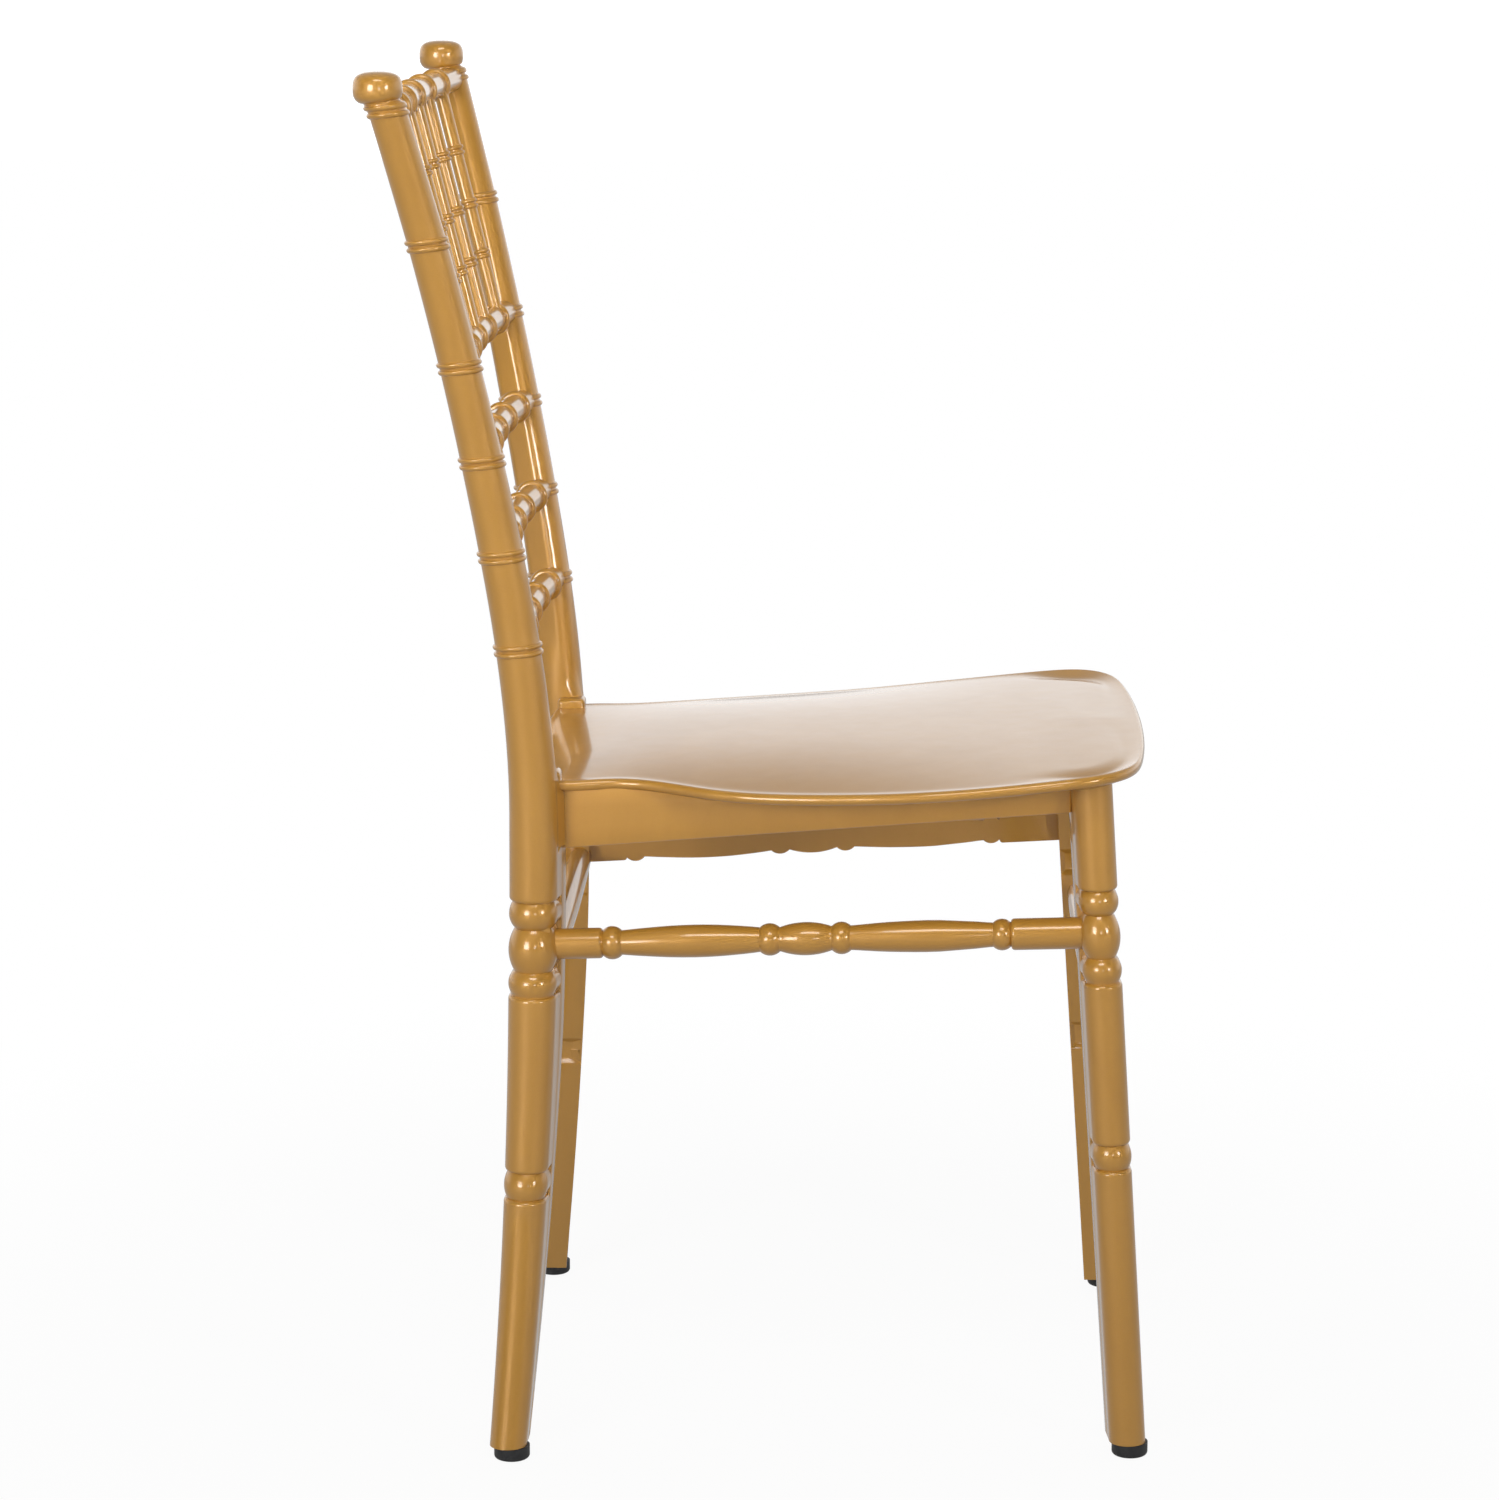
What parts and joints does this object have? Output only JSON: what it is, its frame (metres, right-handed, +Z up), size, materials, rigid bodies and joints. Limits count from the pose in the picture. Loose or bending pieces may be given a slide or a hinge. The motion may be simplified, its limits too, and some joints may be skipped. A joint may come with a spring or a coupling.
{
  "type": "banquet chair",
  "caption": "Gold moulded resin banquet chair with bowed turned rear posts, a spindle and ladder back, a saddle seat panel, turned stretchers and rubber foot glides.",
  "frame": {"origin": "On the floor, under the middle of the chair's overall width and depth", "axes": "+Z is up, -Y is the way a sitter faces, +X is the sitter's left"},
  "size_m": [0.4656, 0.515, 0.9185],
  "materials": {
    "gold_resin": "high-gloss metallic gold resin with a fine pearl flake",
    "black_rubber": "matt black moulded rubber",
    "zinc_steel": "zinc-plated steel screws"
  },
  "bodies": {
    "root": {"left_rear_post": "gold_resin", "right_rear_post": "gold_resin", "left_front_leg": "gold_resin", "right_front_leg": "gold_resin", "seat_panel": "gold_resin", "left_side_rail": "gold_resin", "right_side_rail": "gold_resin", "front_rail": "gold_resin", "rear_rail": "gold_resin", "crest_rail": "gold_resin", "spindle_rail": "gold_resin", "upper_ladder_rung": "gold_resin", "middle_ladder_rung": "gold_resin", "lower_ladder_rung": "gold_resin", "spindle_1": "gold_resin", "spindle_2": "gold_resin", "spindle_3": "gold_resin", "spindle_4": "gold_resin", "spindle_5": "gold_resin", "left_side_stretcher": "gold_resin", "right_side_stretcher": "gold_resin", "front_stretcher": "gold_resin", "rear_stretcher": "gold_resin", "left_front_glide": "black_rubber", "right_front_glide": "black_rubber", "left_rear_glide": "black_rubber", "right_rear_glide": "black_rubber", "seat_screws": "zinc_steel"}
  },
  "joints": []
}
